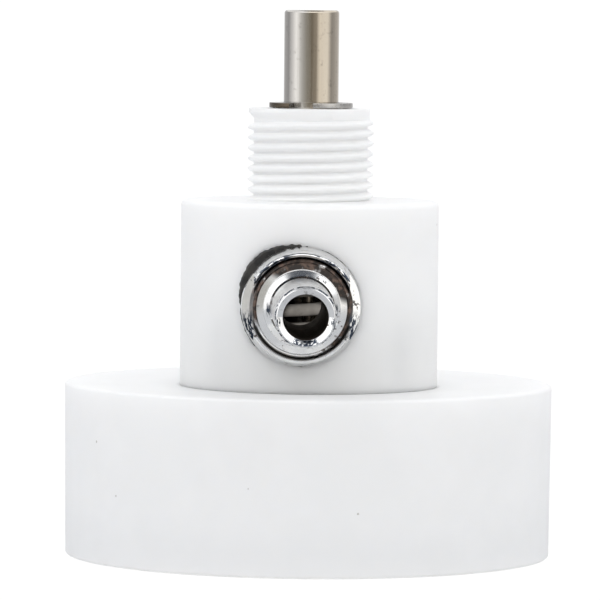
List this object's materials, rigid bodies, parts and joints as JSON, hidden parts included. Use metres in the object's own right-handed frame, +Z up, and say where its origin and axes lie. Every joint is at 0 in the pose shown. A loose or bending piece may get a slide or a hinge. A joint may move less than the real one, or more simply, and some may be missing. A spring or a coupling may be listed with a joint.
{
  "type": "carbon dioxide diffuser",
  "caption": "Round gas diffuser with a threaded hub, a side hose nozzle and a spring-closed valve stem that lifts along its axis.",
  "frame": {"origin": "centre of the flat underside, on the axis of the round body", "axes": "+Z up the body's axis towards the valve stem, -Y the way the hose nozzle points, +X to the right when looking along +Y at the nozzle"},
  "size_m": [0.0702, 0.0792, 0.0784],
  "materials": {
    "white_plastic": "turned white acetal, satin and slightly translucent",
    "chrome_plate": "bright chrome over turned brass",
    "stem_steel": "drawn steel with fine streaks along its length",
    "clip_steel": "dark stamped spring steel",
    "spring_steel": "drawn spring wire, warm grey",
    "screw_steel": "stainless steel",
    "black_rubber": "matt black nitrile",
    "brass": "turned brass",
    "bronze": "sintered bronze",
    "seat_plastic": "turned natural polymer",
    "sintered_plastic": "porous sintered polymer"
  },
  "bodies": {
    "diffuser": {"diffuser_head": "white_plastic", "valve_body": "white_plastic", "spigot_o_ring": "black_rubber", "body_screw_1": "screw_steel", "body_screw_2": "screw_steel", "body_screw_3": "screw_steel", "body_screw_4": "screw_steel", "inlet_union": "chrome_plate", "inlet_nozzle": "chrome_plate", "inlet_washer": "black_rubber", "valve_seat": "seat_plastic", "seat_o_ring": "black_rubber", "guide_bush": "bronze", "gland_spacer": "brass", "stem_o_ring_lower": "black_rubber", "stem_o_ring_upper": "black_rubber", "return_spring": "spring_steel", "diffuser_plate": "white_plastic", "plate_gasket": "black_rubber", "porous_disc": "sintered_plastic", "plate_screw_1": "screw_steel", "plate_screw_2": "screw_steel", "plate_screw_3": "screw_steel", "plate_screw_4": "screw_steel", "plate_screw_5": "screw_steel", "plate_screw_6": "screw_steel"},
    "spring_follower": {"spring_washer": "clip_steel"},
    "stem": {"valve_stem": "stem_steel", "stem_clip": "clip_steel", "poppet": "brass", "poppet_seal": "black_rubber", "poppet_nut": "screw_steel"}
  },
  "joints": [
    {"name": "stem_lift", "type": "slide", "parent": "diffuser", "child": "spring_follower", "axis": [0, 0, 1], "range_m": [0, 0.004], "stiffness_N_per_m": 2500, "springref_m": -0.006, "deforming": ["return_spring"]},
    {"name": "stem_turn", "type": "hinge", "parent": "spring_follower", "child": "stem", "pos_m": [0, 0, 0.0271], "axis": [0, 0, 1], "continuous": true}
  ]
}
